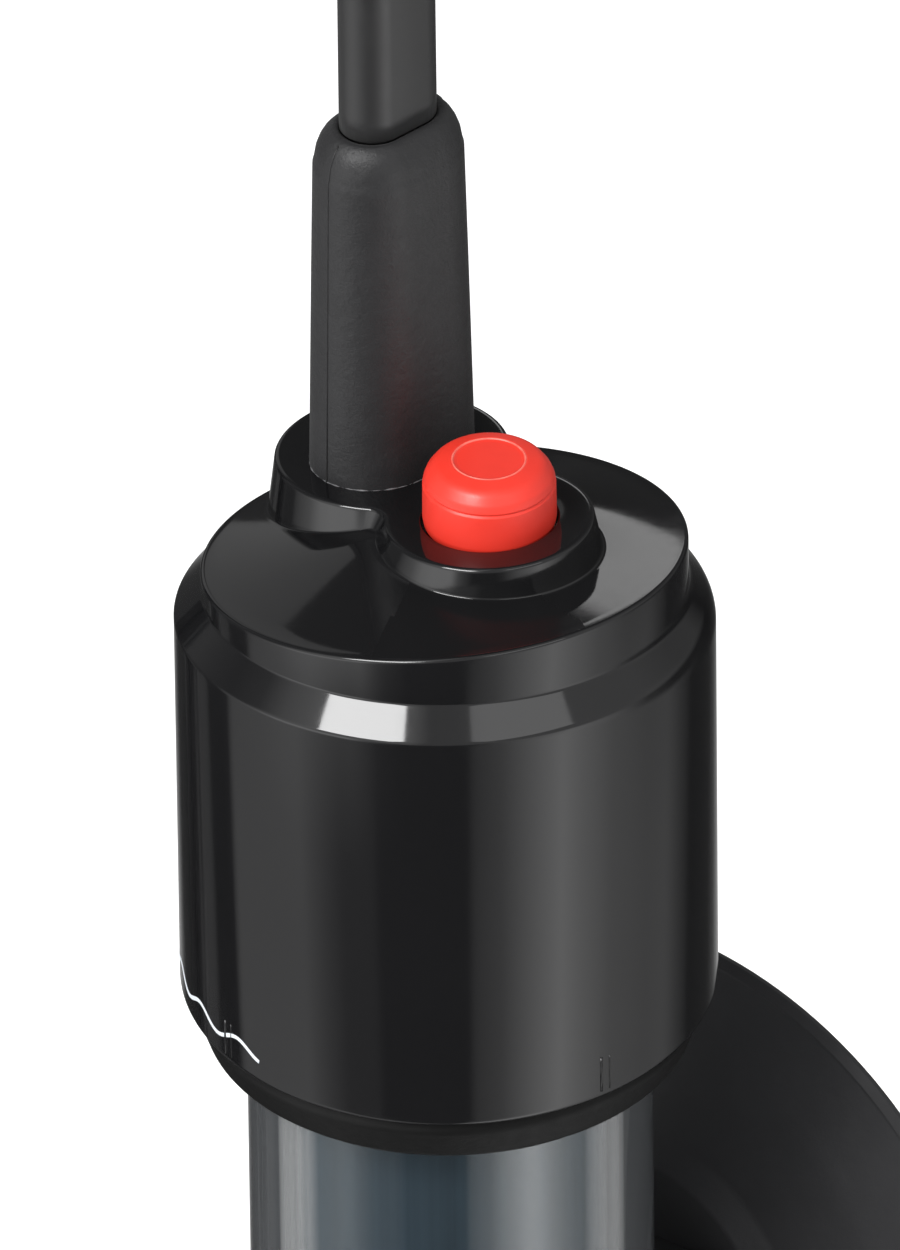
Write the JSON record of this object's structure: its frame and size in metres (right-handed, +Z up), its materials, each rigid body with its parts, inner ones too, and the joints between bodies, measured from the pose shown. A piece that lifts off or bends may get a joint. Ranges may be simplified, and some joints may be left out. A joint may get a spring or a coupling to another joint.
{
  "type": "submersible aquarium heater",
  "caption": "Submersible aquarium heater: glass tube with heating coil and thermostat, sealed black head with push button and flat cord, on suction-cup clips.",
  "frame": {"origin": "centre of the upper suction cup's face, on the tank wall", "axes": "+Y points into the tank wall, +Z is up along the heater, +X completes the right-handed frame"},
  "size_m": [0.1593, 0.045, 0.3136],
  "materials": {
    "head_plastic": "polished moulded black plastic",
    "cap_red": "soft satin red rubbery plastic",
    "boot_rubber": "fine-grained dark grey rubber",
    "cord_rubber": "satin dark grey cord sheath",
    "cup_rubber": "matte dark grey rubber",
    "seal_rubber": "matte black rubber",
    "clip_plastic": "satin black plastic",
    "glass": "clear heavy glass",
    "sleeve": "smooth blue-grey sleeve",
    "bright_steel": "bright drawn steel",
    "pin_brass": "nickel-plated brass",
    "contact_brass": "plain brass",
    "ceramic": "fired white ceramic",
    "resin_board": "laminated resin board",
    "switch_plastic": "dark moulded plastic",
    "bush_plastic": "natural nylon",
    "lamp_glass": "small orange lamp",
    "wire_red": "silicone-covered wire"
  },
  "bodies": {
    "anchor": {"upper_cup": "cup_rubber"},
    "holder": {"upper_clip": "clip_plastic"},
    "heater": {"head_shell": "head_plastic", "button_bush": "bush_plastic", "button_seal": "seal_rubber", "push_switch": "switch_plastic", "strain_relief": "boot_rubber", "power_cord": "cord_rubber", "cord_hank": "cord_rubber", "cord_tie": "clip_plastic", "plug_body": "cord_rubber", "plug_pins": "pin_brass", "tube_gasket": "seal_rubber", "head_plug": "seal_rubber", "plug_o_ring": "seal_rubber", "glass_tube": "glass", "inner_sleeve": "sleeve", "thermostat_frame": "resin_board", "fixed_contact": "contact_brass", "calibration_screw": "bright_steel", "indicator_lamp": "lamp_glass", "heat_shield": "ceramic", "ceramic_former": "ceramic", "heating_wire": "bright_steel", "lead_wires": "wire_red", "end_spacer": "ceramic", "button_spring": "bright_steel"},
    "button": {"button_cap": "cap_red", "button_stem": "bush_plastic", "stem_clip": "bright_steel"},
    "bimetal": {"bimetal_strip": "contact_brass", "moving_contact": "bright_steel"},
    "lower_holder": {"lower_clip": "clip_plastic"},
    "lower_anchor": {"lower_cup": "cup_rubber"}
  },
  "joints": [
    {"name": "holder_swivel", "type": "hinge", "parent": "anchor", "child": "holder", "pos_m": [0, -0.0075, 0], "axis": [0, 1, 0], "range_deg": [-90, 90]},
    {"name": "tube_slide", "type": "slide", "parent": "holder", "child": "heater", "axis": [0, 0, 1], "range_m": [-0.02, 0.02]},
    {"name": "button_press", "type": "slide", "parent": "heater", "child": "button", "axis": [0, 0, -1], "range_m": [0, 0.0018], "stiffness_N_per_m": 500, "springref_m": -0.001, "deforming": ["button_spring"]},
    {"name": "bimetal_bend", "type": "hinge", "parent": "heater", "child": "bimetal", "pos_m": [0, -0.02995, 0.04], "axis": [-1, 0, 0], "range_deg": [0, 4], "stiffness_Nm_per_rad": 0.02, "springref_deg": -5.73},
    {"name": "lower_clip_slide", "type": "slide", "parent": "heater", "child": "lower_holder", "axis": [0, 0, 1], "range_m": [-0.03, 0.02]},
    {"name": "lower_swivel", "type": "hinge", "parent": "lower_holder", "child": "lower_anchor", "pos_m": [0, -0.0075, -0.1], "axis": [0, 1, 0], "range_deg": [-90, 90]}
  ]
}
